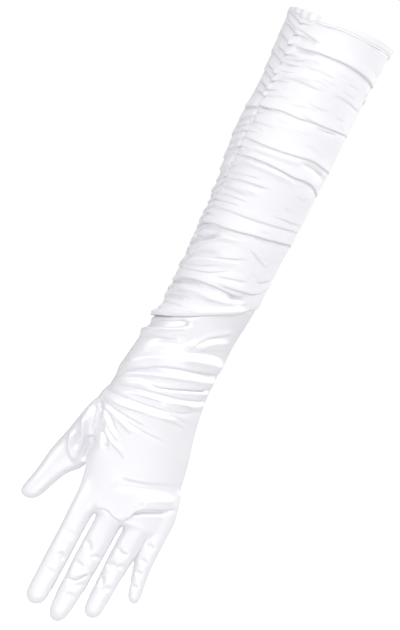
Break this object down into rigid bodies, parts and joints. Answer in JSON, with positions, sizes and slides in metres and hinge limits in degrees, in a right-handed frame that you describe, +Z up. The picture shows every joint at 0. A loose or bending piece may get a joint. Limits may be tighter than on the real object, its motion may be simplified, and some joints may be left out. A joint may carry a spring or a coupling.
{
  "type": "long gathered costume glove",
  "caption": "Long satin dress glove for the left hand, worn shape, sleeve gathered along the thumb-side seam, soft folds over wrist and hand, open at the arm.",
  "frame": {"origin": "middle of the arm opening, at the height of the hem's top edge", "axes": "+Z up along the arm, away from the fingers; -Y is the side of the back of the hand; -X is the thumb's side and +X the little finger's side"},
  "size_m": [0.1201, 0.0793, 0.5055],
  "materials": {
    "satin": "white stretch satin, soft sheen",
    "hem_satin": "white stretch satin turned in twice and stitched"
  },
  "bodies": {
    "root": {"hem_band": "hem_satin", "sleeve": "satin", "hand": "satin", "index_finger": "satin", "middle_finger": "satin", "ring_finger": "satin", "little_finger": "satin", "fourchette_index_middle": "satin", "fourchette_middle_ring": "satin", "fourchette_ring_little": "satin", "thumb": "satin"}
  },
  "joints": []
}
